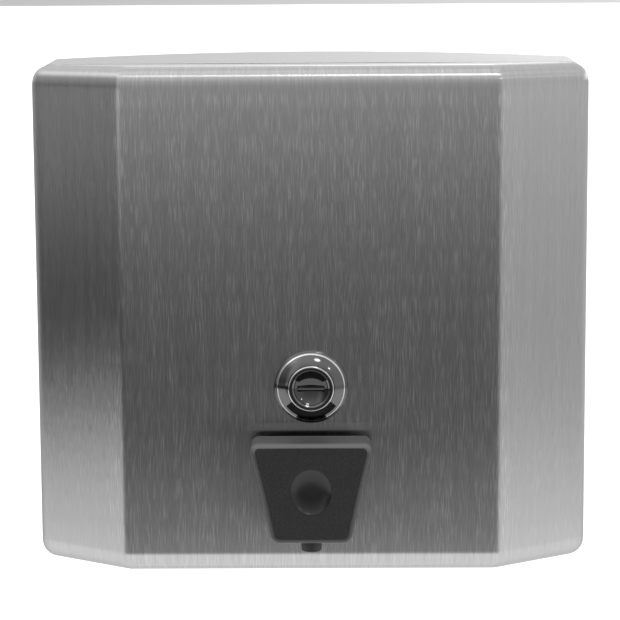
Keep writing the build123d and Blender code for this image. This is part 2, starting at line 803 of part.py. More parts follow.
# ---- Cam lock: trim ring, body with raised bezel, washer and nut ----
rosette_radius = 11.7
rosette_thickness = 1.2
rosette_bevel = 0.9
barrel_rear_depth = 66.0
bezel_front = 85.2
bezel_radius = 10.75
bezel_edge = 0.7
cone_top_radius = 7.5
lip_radius = 6.7
lip_inner_radius = 5.9
flat_distance = 8.2
flat_cut = 4.0
with BuildPart() as lock_trim_ring:
    ring(
        Plane.XZ.offset(overall_depth + lay_gap),
        rosette_radius,
        lock_barrel_radius + running_gap,
        rosette_thickness,
        lock_z,
    )
    chamfer(edges().group_by(Axis.Y)[0].sort_by(SortBy.LENGTH)[-1], rosette_bevel)
lock_trim_ring.part.label = "lock_trim_ring"
export_step(lock_trim_ring.part, "parts/lock_trim_ring.step")

bezel_rear = overall_depth + rosette_thickness + 2 * lay_gap
with BuildPart() as lock_body:
    with BuildSketch(Plane.YZ):
        with BuildLine():
            bore = lock_z + plug_radius + running_gap
            Polyline(
                (-barrel_rear_depth, bore),
                (-barrel_rear_depth, lock_z + lock_barrel_radius),
                (-bezel_rear, lock_z + lock_barrel_radius),
                (-bezel_rear, lock_z + bezel_radius),
                (-bezel_rear - bezel_edge, lock_z + bezel_radius),
                (-bezel_front + 0.9, lock_z + cone_top_radius),
                (-bezel_front + 0.1, lock_z + cone_top_radius - 0.5),
                (-bezel_front, lock_z + lip_radius),
                (-bezel_front, lock_z + lip_inner_radius),
                (-bezel_front + 0.5, bore),
                close=True,
            )
        make_face()
    revolve(axis=lock_axis)
    # Two flats keep the body from turning.
    flat_length = cover_inside - barrel_rear_depth
    for side in (-1, 1):
        with Locations(
            (side * (flat_distance + flat_cut / 2), -barrel_rear_depth - flat_length / 2, lock_z)
        ):
            Box(flat_cut, flat_length, 2 * rosette_radius, mode=Mode.SUBTRACT)
lock_body.part.label = "lock_body"
export_step(lock_body.part, "parts/lock_body.step")

washer_radius = 11.5
washer_thickness = 0.8
with BuildPart() as lock_washer:
    ring(
        Plane.XZ.offset(cover_inside - washer_thickness),
        washer_radius,
        lock_barrel_radius + running_gap,
        washer_thickness - lay_gap,
        lock_z,
    )
lock_washer.part.label = "lock_washer"
export_step(lock_washer.part, "parts/lock_washer.step")

lock_nut_thickness = 3.0
lock_nut_radius = 11.0
with BuildPart() as lock_nut:
    with BuildSketch(Plane.XZ.offset(cover_inside - washer_thickness - lock_nut_thickness)):
        with Locations((0, lock_z)):
            RegularPolygon(lock_nut_radius, 6, major_radius=False)
            Circle(lock_barrel_radius + running_gap, mode=Mode.SUBTRACT)
    extrude(amount=lock_nut_thickness - lay_gap)
lock_nut.part.label = "lock_nut"
export_step(lock_nut.part, "parts/lock_nut.step")

# ---- Cam lock: plug, cam and screw, which turn together ----
plug_front = 84.9
dish_radius = 8.6
dish_depth = 1.7
boss_side = 6.0
cam_rear = 63.8
cam_thickness = 2.0
cam_screw_radius = 1.9
slot_height = 1.9
slot_length = 8.6
slot_depth = 7.0
screw_bore_depth = 7.0
with BuildPart() as lock_plug:
    with BuildSketch(Plane.XZ.offset(barrel_rear_depth)):
        with Locations((0, lock_z)):
            Circle(plug_radius)
    extrude(amount=plug_front - barrel_rear_depth)
    # The face is dished, which leads a key to its slot.
    with Locations((0, -(plug_front - dish_depth + dish_radius), lock_z)):
        Sphere(dish_radius, mode=Mode.SUBTRACT)
    with BuildSketch(Plane.XZ.offset(cam_rear)):
        with Locations((0, lock_z)):
            Rectangle(boss_side, boss_side)
    extrude(amount=barrel_rear_depth - cam_rear)
    with BuildSketch(Plane.XZ.offset(plug_front - slot_depth)):
        with Locations((0, lock_z)):
            Rectangle(slot_length, slot_height)
    extrude(amount=slot_depth, mode=Mode.SUBTRACT)
    with BuildSketch(Plane.XZ.offset(cam_rear)):
        with Locations((0, lock_z)):
            Circle(cam_screw_radius)
    extrude(amount=screw_bore_depth, mode=Mode.SUBTRACT)
lock_plug.part.label = "lock_plug"
export_step(lock_plug.part, "parts/lock_plug.step")

cam_hub_radius = 6.5
cam_tip_radius = 4.0
cam_arm = cam_reach - cam_tip_radius
cam_hole = boss_side + 2 * running_gap
with BuildPart() as lock_cam:
    # Pointing along +X the cam is clear of the hook; a quarter turn brings it up behind the hook.
    with BuildSketch(Plane.XZ.offset(cam_rear + lay_gap)):
        with Locations((0, lock_z)):
            Circle(cam_hub_radius)
        with Locations((cam_arm / 2, lock_z)):
            Rectangle(cam_arm, 2 * cam_tip_radius)
        with Locations((cam_arm, lock_z)):
            Circle(cam_tip_radius)
        with Locations((0, lock_z)):
            Rectangle(cam_hole, cam_hole, mode=Mode.SUBTRACT)
    extrude(amount=cam_thickness)
lock_cam.part.label = "lock_cam"
export_step(lock_cam.part, "parts/lock_cam.step")

screw_head_radius = 4.6
screw_head_height = 2.2
screw_head_rounding = 0.8
screw_length = 6.0
recess_length = 5.0
recess_width = 0.9
recess_depth = 1.1
with BuildPart() as cam_screw:
    with BuildSketch(Plane.XZ.offset(cam_rear - screw_head_height)):
        with Locations((0, lock_z)):
            Circle(screw_head_radius)
    extrude(amount=screw_head_height - lay_gap)
    fillet(edges().group_by(Axis.Y)[-1], screw_head_rounding)
    with BuildSketch(Plane.XZ.offset(cam_rear - screw_head_height / 2)):
        with Locations((0, lock_z)):
            Circle(cam_screw_radius - lay_gap)
    extrude(amount=screw_head_height / 2 + screw_length)
    with BuildSketch(Plane.XZ.offset(cam_rear - screw_head_height)):
        with Locations((0, lock_z)):
            Rectangle(recess_length, recess_width)
            Rectangle(recess_width, recess_length)
    extrude(amount=recess_depth, mode=Mode.SUBTRACT)
cam_screw.part.label = "cam_screw"
export_step(cam_screw.part, "parts/cam_screw.step")
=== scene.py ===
import json
import math

import bmesh
import bpy
import numpy as np
from mathutils import Matrix, Vector


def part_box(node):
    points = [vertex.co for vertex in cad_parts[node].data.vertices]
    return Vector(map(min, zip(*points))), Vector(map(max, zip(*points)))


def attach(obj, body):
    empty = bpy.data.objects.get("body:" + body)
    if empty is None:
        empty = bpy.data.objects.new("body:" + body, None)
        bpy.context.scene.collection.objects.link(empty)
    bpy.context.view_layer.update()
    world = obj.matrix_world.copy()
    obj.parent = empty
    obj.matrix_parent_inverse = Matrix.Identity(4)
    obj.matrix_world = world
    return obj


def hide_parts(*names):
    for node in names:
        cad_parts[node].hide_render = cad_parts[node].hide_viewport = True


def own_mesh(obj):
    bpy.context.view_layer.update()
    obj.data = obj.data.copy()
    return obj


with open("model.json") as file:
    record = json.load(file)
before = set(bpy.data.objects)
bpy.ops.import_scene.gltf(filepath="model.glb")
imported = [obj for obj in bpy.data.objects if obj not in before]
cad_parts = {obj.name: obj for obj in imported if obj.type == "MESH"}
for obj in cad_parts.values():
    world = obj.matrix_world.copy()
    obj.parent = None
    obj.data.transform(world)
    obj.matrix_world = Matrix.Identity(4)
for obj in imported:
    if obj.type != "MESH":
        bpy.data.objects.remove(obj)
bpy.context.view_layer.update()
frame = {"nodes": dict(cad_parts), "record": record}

MM = 0.001


def corners(node):
    """Lowest and highest corner of a CAD node, in millimetres."""
    low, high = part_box(node)
    return np.array(low) / MM, np.array(high) / MM


cover_low, cover_high = corners("front_cover")
button_low, button_high = corners("push_button")
lock_low, lock_high = corners("lock_body")
trim_low, trim_high = corners("lock_trim_ring")
plug_front = corners("lock_plug")[0][1]
nozzle_low, nozzle_high = corners("spout_nozzle")
drip_low, drip_high = corners("drip_valve")

half_width = cover_high[0]
half_height = cover_high[2]
front = cover_low[1]
cover_rear = cover_high[1]
lock_z = (lock_low[2] + lock_high[2]) / 2

# ---- Camera: a little above the dispenser, looking slightly down at it ----
camera_place = Vector((6.8, -774.3, 105.7)) * MM
camera_aim = Vector((-0.6, -40.0, -1.5)) * MM
camera_roll = math.radians(-0.34)
lens_length = 129.774
sensor_width = 36.0

camera_data = bpy.data.cameras.new("camera")
camera_data.sensor_width = sensor_width
camera_data.lens = lens_length
camera_data.clip_start = 0.01
camera_data.clip_end = 200.0
camera = bpy.data.objects.new("camera", camera_data)
bpy.context.scene.collection.objects.link(camera)
forward = (camera_aim - camera_place).normalized()
level = forward.cross(Vector((0, 0, 1))).normalized()
upright = level.cross(forward)
right = math.cos(camera_roll) * level + math.sin(camera_roll) * upright
up = -math.sin(camera_roll) * level + math.cos(camera_roll) * upright
turn = Matrix((right, up, -forward)).transposed().to_4x4()
camera.matrix_world = Matrix.Translation(camera_place) @ turn
bpy.context.scene.camera = camera
bpy.context.scene.view_settings.view_transform = "Standard"


# ---- Mesh making ----
def grid(points, wrap=False):
    """Vertices and quads of a grid of points, rows by columns; wrap joins the last column to the first."""
    rows, cols = points.shape[:2]
    index = np.arange(rows * cols).reshape(rows, cols)
    if wrap:
        index = np.concatenate([index, index[:, :1]], axis=1)
    quads = np.stack([index[:-1, :-1], index[:-1, 1:], index[1:, 1:], index[1:, :-1]], axis=-1)
    return points.reshape(-1, 3), quads.reshape(-1, 4)


def piece(name, grids, uvs=None, sharp=35.0, merge=0.002):
    """One closed object from several grids, in millimetres, joined where their edges meet.

    The grids' shared points are merged, every face is turned outwards, and edges that turn by more
    than sharp degrees stay crisp. uvs gives each grid's own map: places in metres, or marks.
    """
    vertices, quads, places, start = [], [], [], 0
    for i, (points, wrap) in enumerate(grids):
        v, q = grid(np.asarray(points, float), wrap)
        vertices.append(v)
        quads.append(q + start)
        places.append(np.zeros((len(v), 2)) if uvs is None else np.asarray(uvs[i]).reshape(-1, 2))
        start += len(v)
    vertices = np.concatenate(vertices) * MM
    quads = np.concatenate(quads)
    mesh = bpy.data.meshes.new(name)
    mesh.from_pydata(vertices.tolist(), [], quads.tolist())
    if uvs is not None:
        layer = mesh.uv_layers.new(name="grain")
        layer.data.foreach_set("uv", np.concatenate(places)[quads.ravel()].ravel())
    build = bmesh.new()
    build.from_mesh(mesh)
    bmesh.ops.remove_doubles(build, verts=build.verts, dist=merge * MM)
    bmesh.ops.dissolve_degenerate(build, edges=build.edges, dist=merge * MM / 4)
    bmesh.ops.recalc_face_normals(build, faces=build.faces)
    build.to_mesh(mesh)
    build.free()
    mesh.shade_smooth()
    mesh.set_sharp_from_angle(angle=math.radians(sharp))
    made = bpy.data.objects.new(name, mesh)
    bpy.context.scene.collection.objects.link(made)
    return made


def rounded_line(points, radii, steps=6):
    """An open outline whose inner corners are replaced by arcs of the given radii.

    Each corner's arc starts and ends at radius times the tangent of half the turn from the corner,
    and its points lie on the circle that touches both sides there.
    """
    points = np.asarray(points, float)
    line = [points[:1]]
    for before, corner, after, radius in zip(points[:-2], points[1:-1], points[2:], radii):
        into = (corner - before) / np.linalg.norm(corner - before)
        out = (after - corner) / np.linalg.norm(after - corner)
        turn_angle = math.acos(np.clip(into @ out, -1, 1))
        if radius <= 0 or turn_angle < 1e-4:
            line.append(corner[None])
            continue
        inward = (out - into) / np.linalg.norm(out - into)
        centre = corner + inward * radius / math.cos(turn_angle / 2)
        sweep = np.linspace(-turn_angle / 2, turn_angle / 2, steps + 1)[:, None]
        along = (into + out) / np.linalg.norm(into + out)
        line.append(centre + radius * (np.sin(sweep) * along - np.cos(sweep) * inward))
    line.append(points[-1:])
    return np.concatenate(line)


def divided(line, counts):
    """Each stretch of a line cut into its count of equal steps; the line's last point is left out."""
    return np.concatenate(
        [
            a + (b - a) * np.linspace(0, 1, n, endpoint=False)[:, None]
            for a, b, n in zip(line[:-1], line[1:], counts)
        ]
    )


def turned(profile, x, z, steps=96, axis="y", y=0.0):
    """A profile of (radius, place along the axis) turned about an axis along Y or Z.

    Point (r, a) becomes (x + r cos t, a, z + r sin t) about Y, or (x + r cos t, y + r sin t, a)
    about Z, for t evenly spaced round the circle.
    """
    t = np.arange(steps) * (2 * math.pi / steps)
    radius, along = np.asarray(profile, float).T[:, :, None]
    first = x + radius * np.cos(t)
    if axis == "y":
        return np.stack([first, along + 0 * t, z + radius * np.sin(t)], axis=-1)
    return np.stack([first, y + radius * np.sin(t), along + 0 * t], axis=-1)


# ---- Front cover: a faceted sheet with soft bends ----
sheet = 1.0
half_panel = 59.5
facet_setback = 19.8
facet_angle = math.atan2(facet_setback, half_width - half_panel)
rim_size = 7.0
rim_ease = 0.5
corner_radius = 6.5
bend_radius = 3.6
bend_shrink = 0.4
bend_steps = 10
least_corner = 0.8
least_bend = 0.5
notch_y = -57.6
notch_z = -75.4
notch_margin = 0.01


def cover_path(inset):
    """The cover's outline seen from above, drawn in by inset, from its left rear edge to its right.

    The facet's line keeps its slope and moves in square to itself; the bends shrink as they go in,
    so that the outline stays free of loops.
    """
    side_x = half_width - inset
    panel_y = front + inset
    facet_x = half_panel - inset * math.tan(facet_angle / 2)
    slope = math.tan(facet_angle)
    side_y = panel_y + slope * (side_x - facet_x)
    outer = max(corner_radius - inset, least_corner)
    bend = max(bend_radius - bend_shrink * inset, least_bend)
    points = [
        (-side_x, cover_rear),
        (-side_x, side_y),
        (-facet_x, panel_y),
        (facet_x, panel_y),
        (side_x, side_y),
        (side_x, cover_rear),
    ]
    line = rounded_line(points, (outer, bend, bend, outer), steps=bend_steps)
    arc = (1,) * bend_steps
    counts = (3,) + arc + (14,) + arc + (44,) + arc + (14,) + arc + (3,)
    return np.concatenate([divided(line, counts), line[-1:]])


def rim_curve(size, steps=18):
    """The rim's bend: heights gained and distances drawn in, from the wall to the flat top.

    The direction turns through a right angle as t minus a sine wave of one period, so that the bend
    starts and ends softly; the steps along it are summed, and both reaches are scaled to size.
    """
    t = np.linspace(0, 1, steps)
    angle = math.pi / 2 * (t - rim_ease * np.sin(2 * math.pi * t) / (2 * math.pi))
    middle = (angle[1:] + angle[:-1]) / 2
    rise = np.concatenate([[0], np.cumsum(np.cos(middle))])
    drawn = np.concatenate([[0], np.cumsum(np.sin(middle))])
    return rise * size / rise[-1], drawn * size / drawn[-1]


def lengths(line):
    """Distance along a line of points, zero at its middle."""
    steps = np.linalg.norm(np.diff(line, axis=0), axis=1)
    distance = np.concatenate([[0], np.cumsum(steps)])
    return distance - distance[-1] / 2


def cover_skin(inset):
    """Three grids of one side of the cover's sheet: wall with rims, top and bottom, with their maps.

    The wall runs up the outline, and over each rim it follows the rim's bend inwards. Two rows lie
    close to the notch's height. Top and bottom span from the rim to the rear edge on straight lines.
    """
    rim_start = half_height - rim_size
    rise, inwards = rim_curve(rim_size - inset)
    notch = -notch_z - rim_start + np.array([-notch_margin, notch_margin])
    lower = np.sort(np.concatenate([rise, notch]))[::-1]
    flat = np.linspace(-0.9, 0.9, 15) * rim_start
    z = np.concatenate([-rim_start - lower, flat, rim_start + rise])
    drawn = np.concatenate([np.interp(lower, rise, inwards), 0 * flat, inwards])
    paths = np.stack([cover_path(inset + d) for d in drawn])
    wall = np.concatenate([paths, np.broadcast_to(z[:, None, None], paths.shape[:2] + (1,))], axis=2)
    along = lengths(cover_path(0.0))
    over = np.cumsum(np.concatenate([[0], np.hypot(np.diff(z), np.diff(drawn))]))
    wall_map = np.stack(np.meshgrid(along, over), axis=-1)
    grids, maps = [(wall, False)], [wall_map * MM]
    for row in (0, -1):
        rim = wall[row]
        share = (lengths(rim) / (2 * lengths(rim)[-1]) + 0.5)[:, None]
        rear = rim[0] + (rim[-1] - rim[0]) * share
        blend = np.linspace(0, 1, 8)[:, None, None]
        face = rim + (rear - rim) * blend
        grids.append((face, False))
        maps.append(face[:, :, :2] * MM)
    return grids, maps


def cut_notch(points):
    """Moves the lower rear edge forward, so that it clears the housing's floor as the cover tilts."""
    low = points[:, :, 2] < notch_z
    points[:, :, 1] = np.where(low, np.minimum(points[:, :, 1], notch_y), points[:, :, 1])
    return points


def edge_loop(grids):
    """The open rear edge of a skin: up one side, across the top, down the other, along the floor."""
    wall, bottom, top = (points for points, _ in grids)
    return np.concatenate([wall[:, 0], top[-1], wall[::-1, -1], bottom[-1, ::-1]])


outside, outside_maps = cover_skin(0.0)
inside, inside_maps = cover_skin(sheet)
for points, _ in outside + inside:
    cut_notch(points)
rim = np.stack([edge_loop(outside), edge_loop(inside)])
rim_map = np.zeros(rim.shape[:2] + (2,))
cover_sheet = piece(
    "cover_sheet", outside + inside + [(rim, True)], outside_maps + inside_maps + [rim_map]
)
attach(cover_sheet, "cover")
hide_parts("front_cover")

# ---- Push button: tapered hollow shell with a thumb dimple ----
button_top, button_bottom = button_high[2], button_low[2]
button_front, button_rear = button_low[1], button_high[1]
button_top_half = 19.6
button_bottom_half = 12.3
side_hollow = 0.3
floor_thickness = 0.8
button_upper_corner = 2.6
button_lower_corner = 3.2
least_upper_corner = 0.7
least_lower_corner = 1.2
corner_steps = 12
button_wall = 1.9
front_round = 1.1
dimple_z = -50.3
dimple_half_width = 6.3
dimple_half_height = 7.1
dimple_depth = 1.5
dimple_power = 3.5
dimple_lead = 1.05
# Shares of painted highlight on the button's front edge and upper faces, and how far it reaches, in
# millimetres.
highlight_all_round = 0.25
highlight_top_face = 0.4
highlight_fade = 2.0
highlight_face_reach = 4.0
highlight_side_reach = 3.0


def button_outline(inset):
    """Closed outline of the button's face, drawn in by inset, anticlockwise from its top middle.

    A trapezoid with rounded corners; its slanted sides are hollowed by a parabola.
    """
    top, bottom = button_top - inset, button_bottom + inset
    slope = (button_top_half - button_bottom_half) / (button_top - button_bottom)
    side = inset * math.hypot(1, slope)
    top_half = button_bottom_half + slope * (top - button_bottom) - side
    bottom_half = button_bottom_half + slope * (bottom - button_bottom) - side
    upper = max(button_upper_corner - inset, least_upper_corner)
    lower = max(button_lower_corner - inset, least_lower_corner)
    points = [(0, top), (-top_half, top), (-bottom_half, bottom), (bottom_half, bottom)]
    points += [(top_half, top), (0, top)]
    line = rounded_line(points, (upper, lower, lower, upper), steps=corner_steps)
    arc = (1,) * corner_steps
    outline = divided(line, (14,) + arc + (22,) + arc + (14,) + arc + (22,) + arc + (14,))
    height = np.clip((outline[:, 1] - bottom) / (top - bottom), 0, 1)
    hollow = side_hollow * 4 * height * (1 - height)
    share = np.clip(np.abs(outline[:, 0]) / (bottom_half + slope * (outline[:, 1] - bottom)), 0, 1)
    outline[:, 0] -= np.sign(outline[:, 0]) * hollow * share**8
    return outline


def at_depth(outline, y):
    """Puts a flat outline of (x, z) points at the depth y."""
    return np.stack([outline[:, 0], np.full(len(outline), y), outline[:, 1]], axis=-1)


def button_face(y):
    """Grid over the button's face: rings from the rounded edge to the dimple's rim, then inside it.

    Inside the rim the face sinks by depth times one minus the distance from the middle, as a share
    of the rim's, to the dimple's power. The first mark is the share of painted highlight on the edge,
    most at the top, and the second is 1 in the polished dimple.
    """
    outer = button_outline(front_round)
    angle = np.arctan2(outer[:, 1] - dimple_z, outer[:, 0])
    ellipse = np.stack(
        [dimple_half_width * np.cos(angle), dimple_z + dimple_half_height * np.sin(angle)], axis=-1
    )
    out_share = np.concatenate([[0, 0.04], np.linspace(0.1, 1, 10)])[:, None, None]
    middle = np.array([0, dimple_z])
    around = middle + (ellipse - middle) * dimple_lead
    between = outer + (around - outer) * out_share
    flat = np.concatenate([between, np.zeros(between.shape[:2] + (1,))], axis=2)
    share = np.concatenate([np.linspace(1.0, 0.94, 5), np.linspace(0.9, 0, 16)])[:, None, None]
    bowl = middle + (ellipse - middle) * share
    sink = dimple_depth * (1 - share**dimple_power)
    bowl = np.concatenate([bowl, np.broadcast_to(sink, bowl.shape[:2] + (1,))], axis=2)
    rings = np.concatenate([flat, bowl])
    marks = np.zeros(rings.shape[:2] + (2,))
    # Painted highlight: the face's outer ring is lighter, most near the top.
    upper = np.clip((outer[:, 1] - button_top + highlight_face_reach) / highlight_fade, 0, 1)
    marks[0, :, 0] = highlight_all_round + (1 - highlight_all_round) * upper
    marks[len(flat) :, :, 1] = 1.0
    return np.stack([rings[:, :, 0], y + rings[:, :, 2], rings[:, :, 1]], axis=-1), marks


def button_shell():
    """The button's grids and their marks: rounded side wall, dimpled face, hollow, its floor and lip.

    Each rounded edge draws the outline in by its radius times one minus a sine or cosine, while the
    depth moves by the radius times one minus the other.
    """
    phi = np.linspace(0, math.pi / 2, 9)
    rear_round = 0.5
    rings = [
        at_depth(
            button_outline(rear_round * (1 - math.sin(t))), button_rear - rear_round * (1 - math.cos(t))
        )
        for t in np.linspace(0, math.pi / 2, 5)
    ]
    depths = np.linspace(button_rear - rear_round, button_front + front_round, 8)[1:]
    rings += [at_depth(button_outline(0), y) for y in depths]
    rings += [
        at_depth(
            button_outline(front_round * (1 - math.cos(t))),
            button_front + front_round * (1 - math.sin(t)),
        )
        for t in phi[1:]
    ]
    outside = np.stack(rings)
    # Painted highlight: the upper side wall and the front rounding are lighter, most near the top.
    highlight_marks = np.zeros(outside.shape[:2] + (2,))
    upper = np.clip((outside[:, :, 2] - button_top + highlight_side_reach) / highlight_fade, 0, 1)
    highlight_marks[:, :, 0] = highlight_top_face * upper
    highlight_marks[-len(phi) :, :, 0] = highlight_all_round + (1 - highlight_all_round) * upper[-len(phi) :]
    face, face_marks = button_face(button_front)
    inner = button_outline(button_wall)
    back = button_front + dimple_depth + floor_thickness
    hollow = [at_depth(inner, y) for y in np.linspace(button_rear, back, 6)]
    centre = np.zeros_like(inner) + np.array([0, (button_top + button_bottom) / 2])
    floor = [at_depth(inner + (centre - inner) * s, back) for s in np.linspace(0, 1, 5)]
    lip = np.stack([at_depth(inner, button_rear), outside[0]])
    grids = [outside, face, np.stack(hollow), np.stack(floor), lip]
    marks = [highlight_marks, face_marks] + [np.zeros(points.shape[:2] + (2,)) for points in grids[2:]]
    return [(points, True) for points in grids], marks


button_grids, button_marks = button_shell()
button = piece("thumb_button", button_grids, button_marks, sharp=50.0)
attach(button, "button")
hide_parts("push_button")

# ---- Lock: trim ring, conical bezel, slotted plug and the key slot's shutter ----
trim_rear, trim_front = trim_high[1], trim_low[1]
trim_bore = 9.5
trim_edge = 10.8
trim_radius = trim_high[0]
bevel = np.linspace(0, math.pi / 2, 9)[:, None]
trim_bevel = np.concatenate(
    [
        trim_edge + (trim_radius - trim_edge) * np.cos(bevel),
        trim_rear + (trim_front - trim_rear) * np.sin(bevel),
    ],
    axis=1,
)
trim_profile = np.concatenate([[(trim_bore, trim_rear)], trim_bevel, [(trim_bore, trim_front)]])
lock_trim = piece(
    "lock_trim",
    [
        (turned(trim_profile, 0, lock_z, 128), True),
        (turned(trim_profile[[-1, 0]], 0, lock_z, 128), True),
    ],
)
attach(lock_trim, "cover")
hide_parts("lock_trim_ring")

lock_front, barrel_end = lock_low[1], lock_high[1]
bore = 5.3
barrel_radius = 9.4
bezel_edge = 10.75
bezel_rear = trim_front - 0.03
bezel_edge_height = 0.75
dome_foot = 7.45
dome_foot_depth = 0.9
dome_rise = 0.22
lip_outside = 7.1
lip_inside = 5.9
bore_chamfer = 0.4
bore_reach = 1.6
dome_start = np.array([bezel_edge, bezel_rear - bezel_edge_height])
dome_end = np.array([dome_foot, lock_front + dome_foot_depth])
share = np.linspace(0, 1, 14)[:, None]
outward = np.array([dome_start[1] - dome_end[1], dome_end[0] - dome_start[0]])
outward = outward / np.linalg.norm(outward)
dome = dome_start + (dome_end - dome_start) * share + outward * dome_rise * 4 * share * (1 - share)
bezel_start = rounded_line(
    [
        (bore, barrel_end),
        (barrel_radius, barrel_end),
        (barrel_radius, bezel_rear),
        (bezel_edge, bezel_rear),
        dome[0],
        dome[1],
    ],
    (0.4, 0.02, 0.1, 0.16),
    steps=6,
)
bezel_lip = rounded_line(
    [
        dome[-1],
        (lip_outside, lock_front),
        (lip_inside, lock_front),
        (bore, lock_front + bore_chamfer),
        (bore, lock_front + bore_reach),
    ],
    (0.3, 0.3, 0.15),
    steps=6,
)
bezel_profile = np.concatenate([bezel_start[:-1], dome[1:-1], bezel_lip])
lock_bezel = piece(
    "lock_bezel",
    [
        (turned(bezel_profile, 0, lock_z, 160), True),
        (turned(bezel_profile[[-1, 0]], 0, lock_z, 160), True),
    ],
    sharp=40.0,
)
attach(lock_bezel, "cover")
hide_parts("lock_body")

flap_half_length = 4.15
# Half of the flap's section: places across the slot, and depths behind the plug's front.
flap_profile = np.array(
    [(-0.85, 4.5), (-0.85, 1.2), (-0.42, 1.2), (-0.42, 0.75), (-0.3, 0.55), (0, 0.45)]
)
flap_profile = np.concatenate([flap_profile, (flap_profile * (-1, 1))[-2::-1]])


def key_flap():
    """The sprung flap in the key slot: a stepped strip with a raised rounded bar, run along X."""
    across, depth = flap_profile.T
    ends = [
        np.stack([0 * across + x, plug_front + depth, lock_z + across], axis=-1)
        for x in (-flap_half_length, flap_half_length)
    ]
    half = len(flap_profile) // 2 + 1
    caps = [(np.stack([end[:half], end[::-1][:half]]), False) for end in ends]
    return [(np.stack(ends), True)] + caps


flap = piece("key_flap", key_flap(), sharp=25.0)
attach(flap, "key_plug")

# ---- Return spring: a coil of wire, drawn at one length; the real one shortens as the button goes in ----
spring_low, spring_high = corners("return_spring")
spring_wire = 0.45
spring_turns = 7
spring_radius = spring_high[0] - spring_wire
spring_z = (spring_low[2] + spring_high[2]) / 2


def coil(steps=420, around=10):
    """A round wire wound on a helix about Y; its section shrinks to a point at each end.

    Centre line (r cos a, y, r sin a) with a and y growing evenly; the wire's circle is drawn from
    the outward direction and the one square to both it and the line.
    """
    share = np.linspace(0, 1, steps)[:, None]
    angle = 2 * math.pi * spring_turns * share
    coil_rear, coil_front = spring_high[1] - spring_wire, spring_low[1] + spring_wire
    outward = np.concatenate([np.cos(angle), 0 * angle, np.sin(angle)], axis=1)
    line = outward * spring_radius + np.concatenate(
        [0 * share, coil_rear + (coil_front - coil_rear) * share, 0 * share + spring_z], axis=1
    )
    along = np.gradient(line, axis=0)
    beside = np.cross(along / np.linalg.norm(along, axis=1, keepdims=True), outward)
    turn_round = (np.arange(around) * 2 * math.pi / around)[:, None]
    width = np.full(steps, spring_wire)
    width[[0, -1]] = 0.0
    circle = outward[:, None] * np.cos(turn_round) + beside[:, None] * np.sin(turn_round)
    return line[:, None] + circle * width[:, None, None]


spring = piece("return_coil", [(coil(), True)], sharp=60.0)
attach(spring, "cover")
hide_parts("return_spring")
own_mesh(spring)

# ---- Nozzle: a hub behind the button's face and the outlet that hangs below it ----
outlet_y = (drip_low[1] + drip_high[1]) / 2
dimple_clearance = 0.3
hub_low, hub_high = button_front + dimple_depth + dimple_clearance, nozzle_high[1]
hub_radius = 4.8
hub_bore = 3.25
hub_edge = 0.2
valve_z = -51.0
outlet_radius = 2.3
outlet_bore = 0.9
tip_radius = 3.2
tip_bore = 2.4
cup_depth = 3.0
tip_height = 3.9
tip_slope = 0.6
tip_bottom = nozzle_low[2]
nozzle_profile = rounded_line(
    [
        (outlet_bore, valve_z),
        (outlet_radius, valve_z),
        (outlet_radius, tip_bottom + tip_height + tip_slope),
        (tip_radius, tip_bottom + tip_height),
        (tip_radius, tip_bottom),
        (tip_bore, tip_bottom),
        (tip_bore, tip_bottom + cup_depth),
        (outlet_bore, tip_bottom + cup_depth),
    ],
    (0.2, 0.3, 0.4, 0.4, 0.25, 0.1),
    steps=5,
)
hub_profile = [
    (hub_bore, hub_high),
    (hub_radius - hub_edge, hub_high),
    (hub_radius, hub_high - hub_edge),
    (hub_radius, hub_low + hub_edge),
    (hub_radius - hub_edge, hub_low),
    (hub_bore, hub_low),
]
nozzle = piece(
    "outlet_nozzle",
    [
        (turned(nozzle_profile, 0, 0, 48, "z", outlet_y), True),
        (turned(nozzle_profile[[-1, 0]], 0, 0, 48, "z", outlet_y), True),
        (turned(hub_profile, 0, valve_z, 64), True),
        (turned([hub_profile[-1], hub_profile[0]], 0, valve_z, 64), True),
    ],
)
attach(nozzle, "button")
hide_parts("spout_nozzle")


# ---- Materials ----
def linear(hex_colour):
    """Linear red, green, blue and alpha of an sRGB hex colour such as '#8a8a88'."""
    values = [int(hex_colour[i : i + 2], 16) / 255 for i in (1, 3, 5)]
    return [v / 12.92 if v <= 0.04045 else ((v + 0.055) / 1.055) ** 2.4 for v in values] + [1.0]


def add(tree, kind, inputs=None, stops=None, **settings):
    """Adds a node, gives it its settings, and sets or links each named or numbered input.

    Stops are a colour ramp's (place, grey or hex colour) pairs.
    """
    made = tree.nodes.new(kind)
    for name, value in settings.items():
        setattr(made, name, value)
    for name, value in (inputs or {}).items():
        if isinstance(value, bpy.types.NodeSocket):
            tree.links.new(value, made.inputs[name])
        else:
            made.inputs[name].default_value = value
    if stops:
        elements = made.color_ramp.elements
        while len(elements) < len(stops):
            elements.new(0.5)
        for element, (place, value) in zip(elements, stops):
            element.position = place
            element.color = linear(value) if isinstance(value, str) else (value, value, value, 1.0)
    return made


def blank(name):
    """A new material with no nodes yet, and its node tree."""
    material = bpy.data.materials.new(name)
    material.use_nodes = True
    material.node_tree.nodes.clear()
    return material, material.node_tree


rim_edge = (half_height - rim_size) * MM


